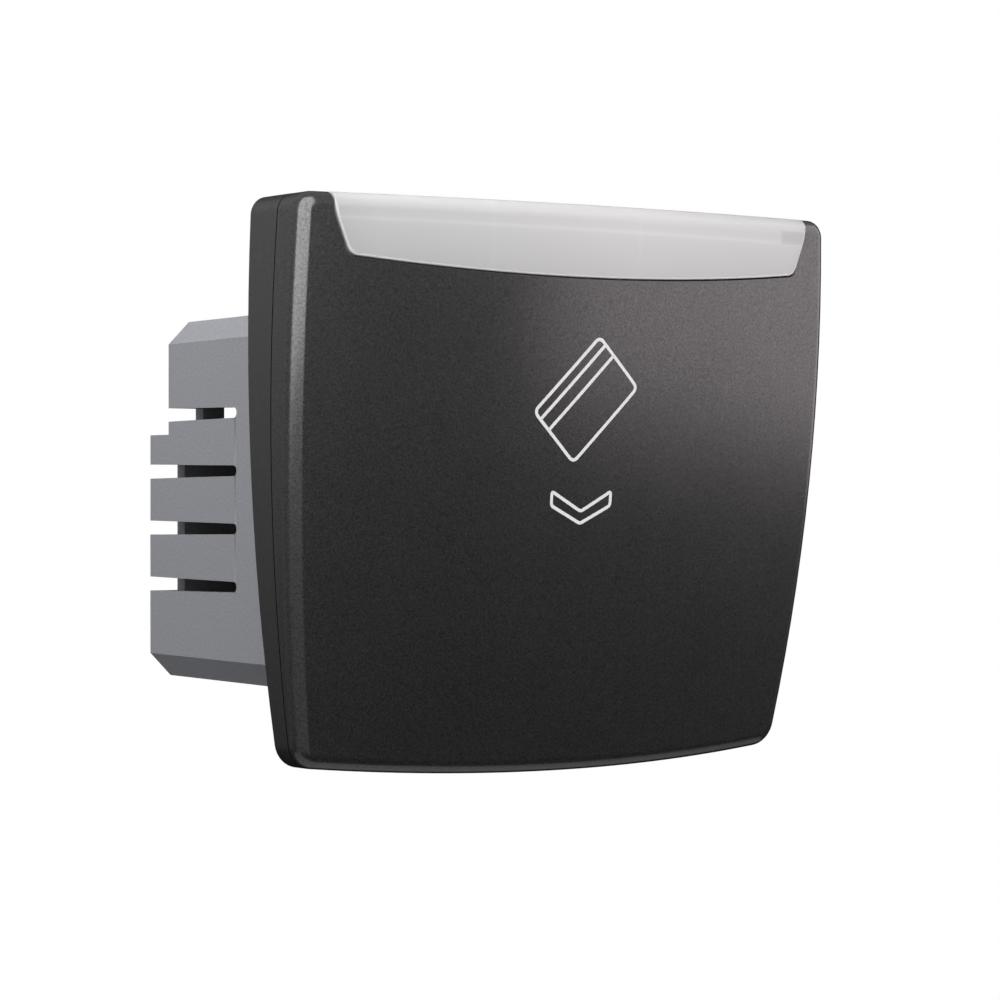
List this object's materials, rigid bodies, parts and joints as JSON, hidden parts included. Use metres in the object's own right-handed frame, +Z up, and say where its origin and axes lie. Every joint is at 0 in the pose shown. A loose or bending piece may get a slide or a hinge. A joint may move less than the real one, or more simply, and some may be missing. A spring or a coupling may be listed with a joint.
{
  "type": "hotel key card switch",
  "caption": "Wall-mounted hotel key card switch: wedge-shaped black front with a top card pocket and light window, grey slotted clip-in body with terminals behind.",
  "frame": {"origin": "centre of the module on the wall plane, the flat rear of the black frame", "axes": "+X to the right seen from the front, +Y back into the wall, +Z up; the front looks along -Y"},
  "size_m": [0.0652, 0.0499, 0.0564],
  "materials": {
    "cover_black": "fine grained matt anthracite",
    "frame_black": "fine grained matt anthracite",
    "window_frost": "frosted translucent",
    "body_grey": "matt blue grey",
    "inner_grey": "matt light grey",
    "guide_black": "matt",
    "light_clear": "clear, polished",
    "board_green": "solder mask",
    "lever_white": "natural acetal",
    "switch_blue": "matt",
    "plunger_red": "semi gloss",
    "block_dark": "matt",
    "comp_amber": "dipped",
    "comp_pale": "semi gloss",
    "comp_black": "matt",
    "steel": "zinc plated",
    "brass": "plain",
    "silver": "silver contact"
  },
  "bodies": {
    "base": {"front_cover": "cover_black", "light_window": "window_frost", "rear_frame": "frame_black", "card_guide": "guide_black", "light_guides": "light_clear", "lamp_board": "board_green", "lamps": "comp_pale", "lamp_pins": "brass", "housing": "body_grey", "frame_screws": "steel", "mechanism_carrier": "inner_grey", "lever_pin": "steel", "lever_spring": "steel", "switch_case": "switch_blue", "switch_lid": "switch_blue", "blade_pivot": "brass", "contact_open": "brass", "contact_closed": "brass", "main_board": "board_green", "capacitor": "comp_amber", "relay": "comp_pale", "rectifier": "comp_black", "resistors": "comp_pale", "bus_bars": "brass", "terminal_block": "block_dark"},
    "lever": {"card_lever": "lever_white"},
    "plunger": {"switch_plunger": "plunger_red"},
    "blade": {"contact_blade": "brass", "blade_contact": "silver"},
    "cage_1": {"clamp_cage_1": "steel"},
    "screw_1": {"clamp_screw_1": "steel"},
    "cage_2": {"clamp_cage_2": "steel"},
    "screw_2": {"clamp_screw_2": "steel"},
    "cage_3": {"clamp_cage_3": "steel"},
    "screw_3": {"clamp_screw_3": "steel"},
    "cage_4": {"clamp_cage_4": "steel"},
    "screw_4": {"clamp_screw_4": "steel"}
  },
  "joints": [
    {"name": "lever_hinge", "type": "hinge", "parent": "base", "child": "lever", "pos_m": [0, 0.005, 0.0085], "axis": [1, 0, 0], "range_deg": [0, 8], "stiffness_Nm_per_rad": 0.03, "springref_deg": -11.46, "deforming": ["lever_spring"]},
    {"name": "plunger_slide", "type": "slide", "parent": "base", "child": "plunger", "axis": [0, 1, 0], "range_m": [0, 0.0012]},
    {"name": "blade_hinge", "type": "hinge", "parent": "base", "child": "blade", "pos_m": [0, 0.0136, -0.0085], "axis": [-1, 0, 0], "range_deg": [0, 8.1]},
    {"name": "screw_turn_1", "type": "hinge", "parent": "base", "child": "screw_1", "pos_m": [-0.0093, 0.0277, 0.014], "axis": [0, 0, -1], "range_deg": [0, 1080.1]},
    {"name": "cage_lift_1", "type": "slide", "parent": "base", "child": "cage_1", "axis": [0, 0, 1], "range_m": [0, 0.0021]},
    {"name": "screw_turn_2", "type": "hinge", "parent": "base", "child": "screw_2", "pos_m": [-0.0031, 0.0277, 0.014], "axis": [0, 0, -1], "range_deg": [0, 1080.1]},
    {"name": "cage_lift_2", "type": "slide", "parent": "base", "child": "cage_2", "axis": [0, 0, 1], "range_m": [0, 0.0021]},
    {"name": "screw_turn_3", "type": "hinge", "parent": "base", "child": "screw_3", "pos_m": [0.0031, 0.0277, 0.014], "axis": [0, 0, -1], "range_deg": [0, 1080.1]},
    {"name": "cage_lift_3", "type": "slide", "parent": "base", "child": "cage_3", "axis": [0, 0, 1], "range_m": [0, 0.0021]},
    {"name": "screw_turn_4", "type": "hinge", "parent": "base", "child": "screw_4", "pos_m": [0.0093, 0.0277, 0.014], "axis": [0, 0, -1], "range_deg": [0, 1080.1]},
    {"name": "cage_lift_4", "type": "slide", "parent": "base", "child": "cage_4", "axis": [0, 0, 1], "range_m": [0, 0.0021]}
  ],
  "couplings": [
    {"joint": "plunger_slide", "follows": "lever_hinge", "m_per_rad": 0.0085},
    {"joint": "blade_hinge", "follows": "lever_hinge", "ratio": 1},
    {"joint": "screw_turn_1", "follows": "cage_lift_1", "rad_per_m": 8976},
    {"joint": "screw_turn_2", "follows": "cage_lift_2", "rad_per_m": 8976},
    {"joint": "screw_turn_3", "follows": "cage_lift_3", "rad_per_m": 8976},
    {"joint": "screw_turn_4", "follows": "cage_lift_4", "rad_per_m": 8976}
  ]
}
